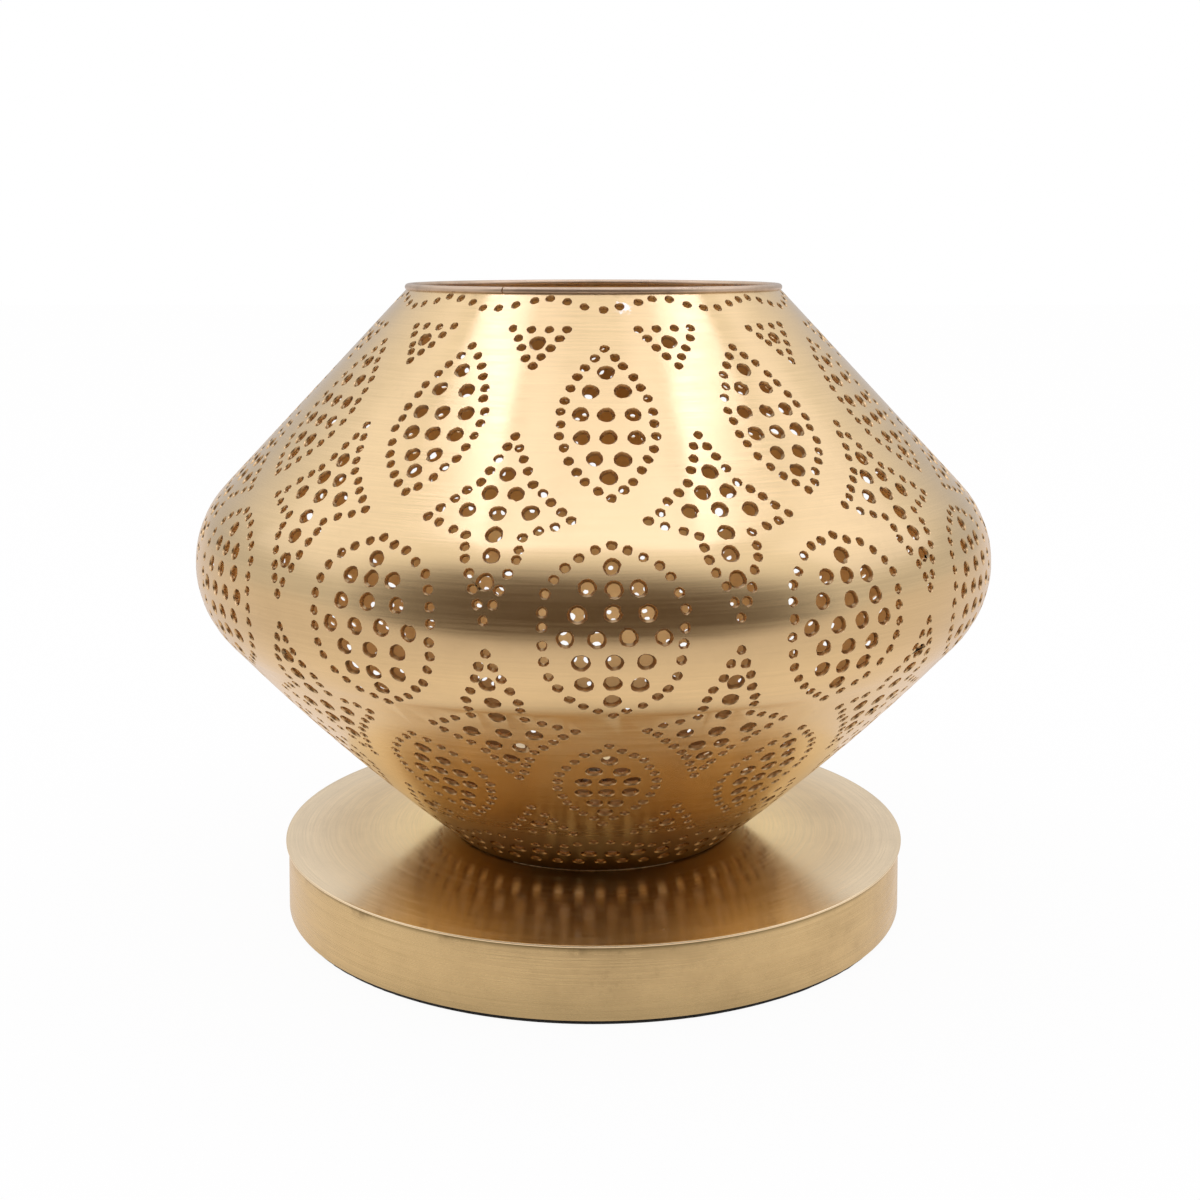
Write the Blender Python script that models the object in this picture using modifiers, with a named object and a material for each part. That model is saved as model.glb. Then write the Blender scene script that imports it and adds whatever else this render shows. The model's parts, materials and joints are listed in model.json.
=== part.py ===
"""Tealight holder: a pierced, spun brass shade screwed down on a round brass-clad base.

Metres, +Z up. The origin is the centre of the felt's underside, where the holder stands on a table.
The front of the holder looks along -Y.
"""

import math

import bmesh
import bpy
from mathutils import Matrix, Vector

# Air left between two pieces that touch on the real thing
FIT_GAP = 0.0003

# Base: a flat brass disc on a brass band, wrapped round a board, with felt under it
BASE_RADIUS = 0.0700
BASE_HEIGHT = 0.0161
DISC_THICKNESS = 0.0008
DISC_OVERHANG = 0.00065
EDGE_BREAK = 0.0002
BAND_THICKNESS = 0.0007
FELT_THICKNESS = 0.0008
FELT_INSET = 0.0009

# Shade: outer skin of the spun sheet, measured up from the underside of its floor
SHEET = 0.0007
MOUTH_RADIUS = 0.04266
SHADE_HEIGHT = 0.1222
BELLY_RADIUS = 0.0887
BELLY_HEIGHT = 0.0637
BELLY_ROUND = 0.0227
FOOT_ROUND = 0.0012
LOWER_BULGE = 0.0008
RIM_WIRE_RADIUS = 0.0008

# Piercing: twelve repeats round the shade, each a column of ovals beside a column of stars
REPEATS = 12
PATTERN_TURN = math.radians(2.0)
HOLE_RADIUS = 0.0023
HOLE_PITCH = 0.0062
HOLE_SIDES = 4
DRILL_SPARE = 0.0013

# Each motif: its column (0 oval, 0.5 star), where its first and last rows of holes lie as shares of
# the wall from mouth to foot, and the number of holes in each row
MOTIFS = (
    (0.5, 0.069, 0.095, (2, 1)),
    (0.0, 0.128, 0.266, (1, 2, 2, 1)),
    (0.5, 0.270, 0.410, (1, 2, 1, 1)),
    (0.0, 0.416, 0.520, (2, 3, 2)),
    (0.5, 0.530, 0.664, (1, 1, 2, 1)),
    (0.0, 0.691, 0.789, (1, 2, 1)),
    (0.5, 0.847, 0.847, (1,)),
    (0.0, 0.939, 0.939, (1,)),
    (0.5, 0.939, 0.939, (1,)),
)

# Screws: pan heads on the shade's floor, standing in a ring just wider than a tealight
TEALIGHT_RADIUS = 0.0195
TEALIGHT_ROOM = 0.0033
SCREW_COUNT = 3
SCREW_HEAD_RADIUS = 0.0034
SCREW_HEAD_HEIGHT = 0.0022
SCREW_SHANK_RADIUS = 0.00175
SCREW_POINT = 0.0030
BOARD_UNDER_SCREW = 0.0038
FLOOR_MARGIN = 0.0020
SCREW_CIRCLE = TEALIGHT_RADIUS + TEALIGHT_ROOM + SCREW_HEAD_RADIUS
FOOT_RADIUS = SCREW_CIRCLE + SCREW_HEAD_RADIUS + FLOOR_MARGIN

# Heights of the seams between the pieces
BOARD_BOTTOM = FELT_THICKNESS + FIT_GAP
BOARD_TOP = BASE_HEIGHT - DISC_THICKNESS - FIT_GAP
SHADE_FOOT = BASE_HEIGHT + FIT_GAP
SCREW_SEAT = SHADE_FOOT + SHEET + FIT_GAP
SCREW_TIP = BOARD_BOTTOM + BOARD_UNDER_SCREW

# Facets
TURN_STEPS = 48
SCREW_STEPS = 12
WIRE_SIDES = 8
BELLY_STEPS = 6
LOWER_STEPS = 2

BRASS = ((0.62, 0.44, 0.20), 0.33, 1.0)
DULL_BRASS = ((0.42, 0.32, 0.18), 0.42, 1.0)
STEEL = ((0.55, 0.55, 0.54), 0.35, 1.0)
BOARD = ((0.45, 0.32, 0.20), 0.85, 0.0)
FELT = ((0.015, 0.015, 0.016), 0.95, 0.0)


def collection(name):
    made = bpy.data.collections.new(name)
    bpy.context.scene.collection.children.link(made)
    return made


def finish(name, colour, roughness, metallic):
    made = bpy.data.materials.new(name)
    made.use_nodes = True
    shader = made.node_tree.nodes["Principled BSDF"]
    shader.inputs["Base Color"].default_value = (*colour, 1.0)
    shader.inputs["Roughness"].default_value = roughness
    shader.inputs["Metallic"].default_value = metallic
    return made


def add_part(name, mesh, look, height=0.0):
    """A named piece in the holder's collection, lifted to its height and parented to the holder."""
    piece = bpy.data.objects.new(name, mesh)
    parts.objects.link(piece)
    piece.data.materials.append(finish(name, *look))
    piece.location.z = height
    piece.parent = holder
    return piece


def smooth(mesh):
    mesh.shade_smooth()
    mesh.set_sharp_from_angle(angle=math.radians(35))


def turned(name, profile, look, height=0.0, steps=TURN_STEPS, closed=False):
    """A piece turned about Z from (radius, z) points that run down its outer side."""
    mesh = bpy.data.meshes.new(name)
    edges = [(i, i + 1) for i in range(len(profile) - 1)]
    if closed:
        edges.append((len(profile) - 1, 0))
    mesh.from_pydata([(radius, 0.0, z) for radius, z in profile], edges, [])
    piece = add_part(name, mesh, look, height)
    screw = piece.modifiers.new("turn", "SCREW")
    screw.axis = "Z"
    screw.angle = 2 * math.pi
    screw.steps = screw.render_steps = steps
    screw.use_merge_vertices = True
    screw.merge_threshold = 0.00001
    screw.use_smooth_shade = True
    return piece


def cutter(name, placements, sides, radius, length):
    """One hidden mesh of many straight drills, each standing along its placement's Z axis."""
    work = bmesh.new()
    for placement in placements:
        bmesh.ops.create_cone(
            work, cap_ends=True, segments=sides, radius1=radius, radius2=radius,
            depth=length, matrix=placement,
        )
    mesh = bpy.data.meshes.new(name)
    work.to_mesh(mesh)
    work.free()
    tool = bpy.data.objects.new(name, mesh)
    cutters.objects.link(tool)
    tool.parent = holder
    tool.hide_render = True
    tool.display_type = "WIRE"
    return tool


def drill(piece, tool):
    cut = piece.modifiers.new(tool.name, "BOOLEAN")
    cut.operation = "DIFFERENCE"
    cut.solver = "EXACT"
    cut.object = tool


def touch_point(start, centre, radius, side):
    """Where a straight line from start just touches a circle, passing it on the given side."""
    reach = centre - start
    lean = side * math.asin(radius / reach.length)
    return start + Matrix.Rotation(lean, 2) @ reach.normalized() * math.sqrt(
        reach.length_squared - radius**2
    )


def shade_wall(belly_steps, lower_steps):
    """Outer skin of the shade's wall, as (radius, z) points from the mouth down to the foot.

    Two cones run tangent into a round belly, and the lower one swells a little.
    """
    mouth = Vector((MOUTH_RADIUS, SHADE_HEIGHT))
    foot = Vector((FOOT_RADIUS, 0.0))
    centre = Vector((BELLY_RADIUS - BELLY_ROUND, BELLY_HEIGHT))
    top = touch_point(mouth, centre, BELLY_ROUND, 1)
    bottom = touch_point(foot, centre, BELLY_ROUND, -1)
    first = math.atan2(*(top - centre).yx)
    last = math.atan2(*(bottom - centre).yx)
    wall = [mouth]
    for i in range(belly_steps + 1):
        angle = first + (last - first) * i / belly_steps
        wall.append(centre + BELLY_ROUND * Vector((math.cos(angle), math.sin(angle))))
    fall = foot - bottom
    outward = Vector((-fall.y, fall.x)).normalized()
    for i in range(1, lower_steps + 1):
        share = i / lower_steps
        wall.append(bottom + fall * share + outward * LOWER_BULGE * 4 * share * (1 - share))
    return wall


def rounded_foot(wall):
    """The wall with its foot corner rounded and the flat floor carried in to the axis."""
    corner = wall[-1]
    up = (wall[-2] - corner).normalized() * FOOT_ROUND
    inward = Vector((-FOOT_ROUND, 0.0))
    middle = corner + (up + inward) / 4
    return wall[:-1] + [corner + up, middle, corner + inward, Vector((0.0, 0.0))]


def wall_reader():
    """A function from a share of the wall's length to the point there and its outward normal."""
    line = shade_wall(belly_steps=48, lower_steps=48)
    lengths = [0.0]
    for a, b in zip(line, line[1:]):
        lengths.append(lengths[-1] + (b - a).length)

    def read(share):
        wanted = share * lengths[-1]
        i = next(k for k, length in enumerate(lengths[1:]) if length >= wanted)
        step = line[i + 1] - line[i]
        point = line[i] + step * (wanted - lengths[i]) / step.length
        return point, Vector((-step.y, step.x)).normalized()

    return read


def piercings():
    """A placement for every hole of the ornament, its Z axis square to the shade's skin."""
    read = wall_reader()
    placements = []
    for column, first, last, rows in MOTIFS:
        for i, count in enumerate(rows):
            share = first + (last - first) * i / max(1, len(rows) - 1)
            point, normal = read(share)
            lean = Matrix.Rotation(math.atan2(normal.x, normal.y), 4, "Y")
            for repeat in range(REPEATS):
                middle = PATTERN_TURN + 2 * math.pi * (repeat + column) / REPEATS
                for k in range(count):
                    aside = (k - (count - 1) / 2) * HOLE_PITCH / point.x
                    turn = Matrix.Rotation(middle + aside - math.pi / 2, 4, "Z")
                    placements.append(turn @ Matrix.Translation((point.x, 0.0, point.y)) @ lean)
    return placements


def screw_places():
    for i in range(SCREW_COUNT):
        angle = math.pi / 2 + 2 * math.pi * i / SCREW_COUNT
        yield SCREW_CIRCLE * math.cos(angle), SCREW_CIRCLE * math.sin(angle)


def screw_drills():
    """Clearance drills from just over the shade's floor down past the points of the screws."""
    top = SCREW_SEAT + FIT_GAP
    bottom = SCREW_TIP - FIT_GAP
    places = [Matrix.Translation((x, y, (top + bottom) / 2)) for x, y in screw_places()]
    return cutter("screw_drills", places, SCREW_STEPS, SCREW_SHANK_RADIUS + FIT_GAP, top - bottom)


def make_shade(drills):
    """Spun sheet with a flat floor, pierced all over."""
    shade = turned("shade", rounded_foot(shade_wall(BELLY_STEPS, LOWER_STEPS)), BRASS, SHADE_FOOT)
    # The middle of each column of the ornament lies midway between two edges of the turned facets
    shade.rotation_euler.z = PATTERN_TURN + math.pi / TURN_STEPS
    wall = shade.modifiers.new("sheet", "SOLIDIFY")
    wall.thickness = SHEET
    wall.offset = -1.0
    wall.use_even_offset = True
    piercing = cutter("piercing", piercings(), HOLE_SIDES, HOLE_RADIUS, 2 * (SHEET + DRILL_SPARE))
    piercing.location.z = SHADE_FOOT
    drill(shade, piercing)
    drill(shade, drills)


def make_rim_wire():
    """Round wire soldered on the edge of the mouth."""
    bpy.ops.mesh.primitive_torus_add(
        major_segments=TURN_STEPS, minor_segments=WIRE_SIDES,
        major_radius=MOUTH_RADIUS, minor_radius=RIM_WIRE_RADIUS,
    )
    ring = bpy.context.object
    mesh = ring.data
    bpy.data.objects.remove(ring)
    smooth(mesh)
    add_part("rim_wire", mesh, DULL_BRASS, SHADE_FOOT + SHADE_HEIGHT + RIM_WIRE_RADIUS + FIT_GAP)


def make_base_top_disc(drills):
    """Flat disc that stands a little proud of the band below it."""
    profile = [
        (0.0, 0.0),
        (BASE_RADIUS - EDGE_BREAK, 0.0),
        (BASE_RADIUS, -EDGE_BREAK),
        (BASE_RADIUS, -DISC_THICKNESS),
        (0.0, -DISC_THICKNESS),
    ]
    drill(turned("base_top_disc", profile, BRASS, BASE_HEIGHT), drills)


def make_base_side_band():
    outer = BASE_RADIUS - DISC_OVERHANG
    inner = outer - BAND_THICKNESS
    profile = [(outer, BOARD_TOP), (outer, BOARD_BOTTOM), (inner, BOARD_BOTTOM), (inner, BOARD_TOP)]
    turned("base_side_band", profile, BRASS, closed=True)


def make_base_board(drills):
    """Board that fills the band and takes the points of the screws."""
    radius = BASE_RADIUS - DISC_OVERHANG - BAND_THICKNESS - FIT_GAP
    profile = [(0.0, BOARD_TOP), (radius, BOARD_TOP), (radius, BOARD_BOTTOM), (0.0, BOARD_BOTTOM)]
    drill(turned("base_board", profile, BOARD), drills)


def make_felt_pad():
    radius = BASE_RADIUS - DISC_OVERHANG - FELT_INSET
    profile = [(0.0, FELT_THICKNESS), (radius, FELT_THICKNESS), (radius, 0.0), (0.0, 0.0)]
    turned("felt_pad", profile, FELT)


def make_screws():
    """Pan-head screws down through the shade's floor and the disc into the board."""
    length = SCREW_SEAT - SCREW_TIP
    profile = [
        (0.0, SCREW_HEAD_HEIGHT),
        (SCREW_HEAD_RADIUS * 0.65, SCREW_HEAD_HEIGHT * 0.92),
        (SCREW_HEAD_RADIUS * 0.95, SCREW_HEAD_HEIGHT * 0.5),
        (SCREW_HEAD_RADIUS, 0.0),
        (SCREW_SHANK_RADIUS, 0.0),
        (SCREW_SHANK_RADIUS, SCREW_POINT - length),
        (0.0, -length),
    ]
    for i, (x, y) in enumerate(screw_places(), start=1):
        screw = turned(f"floor_screw_{i}", profile, STEEL, SCREW_SEAT, SCREW_STEPS)
        screw.location.xy = x, y


for old in list(bpy.data.objects):
    bpy.data.objects.remove(old)
parts = collection("tealight_holder")
cutters = collection("cutters")
holder = bpy.data.objects.new("holder", None)
parts.objects.link(holder)

drills = screw_drills()
make_felt_pad()
make_base_board(drills)
make_base_side_band()
make_base_top_disc(drills)
make_shade(drills)
make_screws()
make_rim_wire()
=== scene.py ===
import json
import math
import random

import bpy
import numpy as np
from mathutils import Matrix, Quaternion, Vector
from mathutils.kdtree import KDTree

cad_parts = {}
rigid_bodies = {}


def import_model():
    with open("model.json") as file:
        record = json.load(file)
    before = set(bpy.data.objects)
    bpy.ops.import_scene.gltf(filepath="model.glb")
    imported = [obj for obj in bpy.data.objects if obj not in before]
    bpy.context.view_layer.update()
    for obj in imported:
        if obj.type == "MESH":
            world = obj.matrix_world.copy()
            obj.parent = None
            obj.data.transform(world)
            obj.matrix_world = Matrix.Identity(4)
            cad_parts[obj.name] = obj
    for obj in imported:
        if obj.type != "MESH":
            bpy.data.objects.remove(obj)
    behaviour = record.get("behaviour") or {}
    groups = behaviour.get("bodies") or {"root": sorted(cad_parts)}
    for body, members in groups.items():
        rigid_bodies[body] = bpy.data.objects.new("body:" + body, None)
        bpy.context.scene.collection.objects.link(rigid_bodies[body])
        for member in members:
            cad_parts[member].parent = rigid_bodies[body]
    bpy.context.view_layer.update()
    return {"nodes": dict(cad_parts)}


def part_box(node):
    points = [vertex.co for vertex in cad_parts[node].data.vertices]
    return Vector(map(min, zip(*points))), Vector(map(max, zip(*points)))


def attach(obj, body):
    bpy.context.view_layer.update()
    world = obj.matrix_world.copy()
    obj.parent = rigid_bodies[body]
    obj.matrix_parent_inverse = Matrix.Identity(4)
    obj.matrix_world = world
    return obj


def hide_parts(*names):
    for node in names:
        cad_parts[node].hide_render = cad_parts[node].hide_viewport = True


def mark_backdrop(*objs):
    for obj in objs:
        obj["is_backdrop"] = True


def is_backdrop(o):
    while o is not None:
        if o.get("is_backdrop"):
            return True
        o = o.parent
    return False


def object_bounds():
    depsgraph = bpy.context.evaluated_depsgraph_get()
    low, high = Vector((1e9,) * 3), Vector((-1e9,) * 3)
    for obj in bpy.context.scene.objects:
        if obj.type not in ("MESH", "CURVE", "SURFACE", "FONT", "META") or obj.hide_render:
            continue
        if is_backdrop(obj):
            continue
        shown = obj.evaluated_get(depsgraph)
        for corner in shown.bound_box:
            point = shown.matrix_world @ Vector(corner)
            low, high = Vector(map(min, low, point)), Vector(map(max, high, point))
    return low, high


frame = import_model()


# Felt pad
# A disc of black needled felt, glued under the base so that it doesn't scratch the table.
# It is cut by hand with shears, so its edge is soft and a little uneven.

def new_mesh(name, points, faces=()):
    mesh = bpy.data.meshes.new(name)
    mesh.from_pydata(points, [], faces)
    return mesh


def turned_mesh(name, profile, steps, closed=False, slit=0.0):
    """A mesh turned about Z from (radius, height) points that run down its outer side.

    Points on the axis become poles. A slit, as an angle, leaves a closed profile open at the back.
    """
    turns = steps + 1 if slit else steps
    start = math.pi / 2 + slit / 2
    sweep = 2 * math.pi - slit
    angles = [start + sweep * j / steps for j in range(turns)]
    points, painted_rings = [], []
    for radius, height in profile:
        first = len(points)
        if radius < 1e-7:
            points.append((0.0, 0.0, height))
            painted_rings.append([first] * turns)
        else:
            points += [(radius * math.cos(a), radius * math.sin(a), height) for a in angles]
            painted_rings.append(list(range(first, first + turns)))
    pairs = list(zip(painted_rings, painted_rings[1:]))
    if closed:
        pairs.append((painted_rings[-1], painted_rings[0]))
    faces = []
    for upper, lower in pairs:
        for j in range(steps):
            k = (j + 1) % turns
            corners = dict.fromkeys((upper[j], lower[j], lower[k], upper[k]))
            if len(corners) > 2:
                faces.append(tuple(corners))
    if slit:
        faces.append(tuple(ring[0] for ring in painted_rings))
        faces.append(tuple(ring[-1] for ring in reversed(painted_rings)))
    return new_mesh(name, points, faces)


def soften(mesh, degrees):
    mesh.shade_smooth()
    mesh.set_sharp_from_angle(angle=math.radians(degrees))


def new_object(name, data):
    thing = bpy.data.objects.new(name, data)
    bpy.context.scene.collection.objects.link(thing)
    return thing


def add_piece(name, mesh, *materials):
    """A piece at the origin, with its place in its mesh, fixed to the holder's one body."""
    piece = new_object(name, mesh)
    mesh.materials.clear()
    for material in materials:
        mesh.materials.append(material)
    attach(piece, "root")
    return piece


def feed(tree, node, values):
    """Set a node's inputs, by title or number, to sockets or to plain values."""
    for title, value in values.items():
        slot = node.inputs[title]
        if isinstance(value, bpy.types.NodeSocket):
            tree.links.new(value, slot)
        elif slot.type == "RGBA":
            slot.default_value = (*value, 1.0)
        else:
            slot.default_value = value


def add_node(tree, kind, values=None, **settings):
    """A node with its properties set by name and its inputs fed."""
    node = tree.nodes.new(kind)
    for name, value in settings.items():
        setattr(node, name, value)
    feed(tree, node, values or {})
    return node


def new_finish(name):
    """A material with its node tree, its Principled shader and its Object coordinates."""
    material = bpy.data.materials.new(name)
    material.use_nodes = True
    tree = material.node_tree
    place = add_node(tree, "ShaderNodeTexCoord").outputs["Object"]
    return material, tree, tree.nodes["Principled BSDF"], place


def noise(tree, place, scale, detail, roughness=0.5):
    values = {"Vector": place, "Scale": scale, "Detail": detail, "Roughness": roughness}
    return add_node(tree, "ShaderNodeTexNoise", values).outputs["Fac"]


def bump(tree, height, depth, **more):
    values = {"Height": height, "Distance": depth, **more}
    return add_node(tree, "ShaderNodeBump", values).outputs["Normal"]


def two_tone(tree, value, low, dark, high, light):
    """A ramp from a dark colour at the low value to a light one at the high value."""
    ramp = add_node(tree, "ShaderNodeValToRGB", {"Fac": value})
    first, last = ramp.color_ramp.elements
    first.position = low
    first.color = (*dark, 1.0)
    last.position = high
    last.color = (*light, 1.0)
    return ramp.outputs["Color"]


FELT_FLAT, FELT_ROUND, FELT_DROP = 0.00035, 0.00012, 0.00010
SHEARS_BITE, SHEARS_ASTRAY = 0.0003, 0.0022
felt_low, felt_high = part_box("felt_pad")
felt_edge = felt_high.x
felt_mesh = turned_mesh("felt_pad", [
    (0.0, felt_high.z),
    (felt_edge - FELT_FLAT, felt_high.z),
    (felt_edge - FELT_ROUND, felt_high.z - FELT_DROP),
    (felt_edge, (felt_low.z + felt_high.z) / 2),
    (felt_edge - FELT_ROUND, felt_low.z + FELT_DROP),
    (felt_edge - FELT_FLAT, felt_low.z),
    (0.0, felt_low.z),
], steps=288)
shears = random.Random(4)
for vertex in felt_mesh.vertices:
    if vertex.co.xy.length > felt_edge - SHEARS_BITE:
        vertex.co.xy *= 1 - shears.uniform(0.0, SHEARS_ASTRAY)
soften(felt_mesh, 60)

felt_finish, tree, shader, place = new_finish("black_felt")
fibres = noise(tree, place, scale=2600.0, detail=5.0)
feed(tree, shader, {
    "Base Color": two_tone(tree, fibres, 0.3, (0.004, 0.004, 0.005), 0.75, (0.030, 0.029, 0.028)),
    "Roughness": 0.95,
    "Sheen Weight": 0.25,
    "Normal": bump(tree, fibres, 0.0002, Strength=0.8),
})
felt = add_piece("felt_pad_cut", felt_mesh, felt_finish)
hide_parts("felt_pad")


# Base board
# A round of brown fibreboard that fills the base and takes the points of the screws.
# Band, disc and felt cover it, so the plain solid stays and gets the board's look.

board_finish, tree, shader, place = new_finish("fibreboard")
chips = noise(tree, place, scale=900.0, detail=8.0)
feed(tree, shader, {
    "Base Color": two_tone(tree, chips, 0.25, (0.24, 0.15, 0.08), 0.75, (0.52, 0.38, 0.24)),
    "Roughness": 0.85,
})
frame["nodes"]["base_board"].material_slots[0].material = board_finish


# Base side band
# A strip of brass sheet bent round the board, its ends butted and soldered at the back.
# It was brushed with abrasive along its length and has darkened in spots below the disc.
# Its top edge carries a line of painted shade under the disc's overhang.

def shader_group(name, output, inputs):
    """A shader node group that gives one value from a place and its named inputs, and its two ends."""
    group = bpy.data.node_groups.new(name, "ShaderNodeTree")
    group.interface.new_socket("Vector", in_out="INPUT", socket_type="NodeSocketVector")
    for title, value in inputs.items():
        kind = "NodeSocketVector" if isinstance(value, tuple) else "NodeSocketFloat"
        group.interface.new_socket(title, in_out="INPUT", socket_type=kind).default_value = value
    group.interface.new_socket(output, in_out="OUTPUT", socket_type="NodeSocketFloat")
    return group, add_node(group, "NodeGroupInput").outputs, add_node(group, "NodeGroupOutput")


def calculate(tree, operation, *values):
    """A Math node fed with sockets or plain numbers."""
    return add_node(tree, "ShaderNodeMath", dict(enumerate(values)), operation=operation).outputs[0]


def remap(tree, value, low, high, to_low, to_high):
    """A clamped and smooth Map Range node."""
    values = {"Value": value, "From Min": low, "From Max": high, "To Min": to_low, "To Max": to_high}
    return add_node(tree, "ShaderNodeMapRange", values, interpolation_type="SMOOTHSTEP").outputs["Result"]


def blend(tree, share, first, second, how="MIX"):
    """A colour between two, each a socket or a plain colour."""
    values = {0: share, 6: first, 7: second}
    return add_node(tree, "ShaderNodeMix", values, data_type="RGBA", blend_type=how).outputs[2]


def sides_of(tree, vector):
    return add_node(tree, "ShaderNodeSeparateXYZ", {0: vector}).outputs


def length_of(tree, x, y):
    """The length of the vector that has these two sides."""
    vector = add_node(tree, "ShaderNodeCombineXYZ", {"X": x, "Y": y}).outputs[0]
    return add_node(tree, "ShaderNodeVectorMath", {0: vector}, operation="LENGTH").outputs["Value"]


# Brush lines run round the turning axis: noise in radius and height, drawn out round the circle
brush_lines, given, out = shader_group("brush_lines", "Lines", {"Lines per Metre": 2500.0, "Breaks": 3.0})
spot = sides_of(brush_lines, given["Vector"])
radius = length_of(brush_lines, spot["X"], spot["Y"])
fine = [calculate(brush_lines, "MULTIPLY", side, given["Lines per Metre"]) for side in (radius, spot["Z"])]
heading = [calculate(brush_lines, "DIVIDE", spot[side], radius) for side in ("X", "Y")]
broken = [calculate(brush_lines, "MULTIPLY", side, given["Breaks"]) for side in heading]
across = add_node(brush_lines, "ShaderNodeCombineXYZ", {"X": fine[0], "Y": fine[1], "Z": broken[0]})
scratch = add_node(brush_lines, "ShaderNodeTexNoise", {
    "Vector": across.outputs[0], "W": broken[1], "Scale": 1.0, "Detail": 3.0, "Roughness": 0.6,
}, noise_dimensions="4D")
feed(brush_lines, out, {"Lines": remap(brush_lines, scratch.outputs["Fac"], 0.28, 0.72, 0.0, 1.0)})

# Tarnish lies in soft clouds with small specks in them
tarnish, given, out = shader_group("tarnish", "Mask", {"Cover": 0.3, "Cloud Scale": 45.0})
clouds = noise(tarnish, given["Vector"], given["Cloud Scale"], detail=6.0, roughness=0.65)
specks = noise(tarnish, given["Vector"], scale=700.0, detail=2.0)
soft = remap(tarnish, clouds, 0.42, 0.78, 0.0, 1.0)
hard = remap(tarnish, specks, 0.58, 0.72, 0.0, 0.6)
both = calculate(tarnish, "MULTIPLY_ADD", soft, hard, soft)
feed(tarnish, out, {"Mask": calculate(tarnish, "MULTIPLY", both, given["Cover"])})

# Grime and flux stains collect along a seam at one height, in a few soft smudges
seam_grime, given, out = shader_group("seam_grime", "Mask", {"Height": 0.0, "Reach": 0.002, "Strength": 0.7})
above = calculate(seam_grime, "SUBTRACT", sides_of(seam_grime, given["Vector"])["Z"], given["Height"])
share = calculate(seam_grime, "DIVIDE", calculate(seam_grime, "ABSOLUTE", above), given["Reach"])
close = remap(seam_grime, share, 0.0, 1.0, 1.0, 0.0)
patches = noise(seam_grime, given["Vector"], scale=70.0, detail=6.0, roughness=0.7)
patchy = calculate(seam_grime, "MULTIPLY", close, remap(seam_grime, patches, 0.48, 0.74, 0.0, 1.0))
feed(seam_grime, out, {"Mask": calculate(seam_grime, "MULTIPLY", patchy, given["Strength"])})

# A mask round a ring, along which the brass is painted darker or lighter as painted shade or painted light,
# and made rougher
painted_light_ring, given, out = shader_group("painted_light_ring", "Mask", {
    "Ring Radius": 0.03, "Ring Height": 0.0, "Reach": 0.02,
})
spot = sides_of(painted_light_ring, given["Vector"])
aside = calculate(painted_light_ring, "SUBTRACT", length_of(painted_light_ring, spot["X"], spot["Y"]), given["Ring Radius"])
above = calculate(painted_light_ring, "SUBTRACT", spot["Z"], given["Ring Height"])
share = calculate(painted_light_ring, "DIVIDE", length_of(painted_light_ring, aside, above), given["Reach"])
feed(painted_light_ring, out, {"Mask": remap(painted_light_ring, share, 0.0, 1.0, 1.0, 0.0)})

# A splash of bright solder with a ragged edge
solder_splash, given, out = shader_group("solder_splash", "Mask", {"Place": (0.0, 0.0, 0.0), "Reach": 0.002})
away = add_node(solder_splash, "ShaderNodeVectorMath", {0: given["Vector"], 1: given["Place"]},
                operation="DISTANCE")
share = calculate(solder_splash, "DIVIDE", away.outputs["Value"], given["Reach"])
ragged = noise(solder_splash, given["Vector"], scale=900.0, detail=4.0)
uneven = calculate(solder_splash, "MULTIPLY_ADD", ragged, 1.6, share)
feed(solder_splash, out, {"Mask": remap(solder_splash, uneven, 1.1, 1.6, 1.0, 0.0)})


def brushed_brass(name, colour, stain, roughness, cover, lines_shown, line_depth, dent_depth,
                  seam=None, painted_rings=(), dulled=0.0, splash=None, metal=1.0):
    """Brass brushed round the axis and tarnished.

    A seam is the height, reach and strength of grime. A ring of painted shade or painted light is its radius,
    height and reach, and the colour that multiplies the brass there, and dulled is the roughness that the
    last one adds.
    A splash is the place and reach of spilt solder. Soot and old tarnish leave less metal than 1.
    """
    material, tree, shader, place = new_finish(name)

    def placed(group, **values):
        titled = {title.replace("_", " "): value for title, value in values.items()}
        return add_node(tree, "ShaderNodeGroup", {"Vector": place, **titled}, node_tree=group).outputs[0]

    streaks = calculate(tree, "MULTIPLY", placed(brush_lines, Lines_per_Metre=700.0, Breaks=5.0), 0.3)
    lines = calculate(tree, "MULTIPLY_ADD", placed(brush_lines), 0.7, streaks)
    dirt = placed(tarnish, Cover=cover)
    if seam:
        height, reach, strength = seam
        grime = placed(seam_grime, Height=height, Reach=reach, Strength=strength)
        dirt = calculate(tree, "MAXIMUM", dirt, grime)
    groove = tuple((1 - 0.6 * lines_shown) * c for c in colour)
    ridge = tuple(min(1.0, (1 + 0.4 * lines_shown) * c) for c in colour)
    shown = blend(tree, dirt, blend(tree, lines, groove, ridge), stain)
    for radius, height, reach, change in painted_rings:
        ring = placed(painted_light_ring, Ring_Radius=radius, Ring_Height=height, Reach=reach)
        shown = blend(tree, ring, shown, change, how="MULTIPLY")
    if splash:
        spill, reach = splash
        shown = blend(tree, placed(solder_splash, Place=spill, Reach=reach), shown, (0.93, 0.90, 0.85))
    spread = lines_shown / 4
    dull = remap(tree, lines, 0.2, 0.8, roughness - spread, roughness + spread)
    dull = calculate(tree, "MULTIPLY_ADD", dirt, 0.22, dull)
    if dulled:
        dull = calculate(tree, "MULTIPLY_ADD", ring, dulled, dull)
    dents = bump(tree, noise(tree, place, scale=55.0, detail=1.0), dent_depth)
    around = add_node(tree, "ShaderNodeTangent", direction_type="RADIAL", axis="Z")
    feed(tree, shader, {
        "Base Color": shown,
        "Roughness": dull,
        "Metallic": metal,
        "Anisotropic": 0.75,
        "Anisotropic Rotation": 0.25,
        "Tangent": around.outputs["Tangent"],
        "Normal": bump(tree, lines, line_depth, Normal=dents),
    })
    return material


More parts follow.
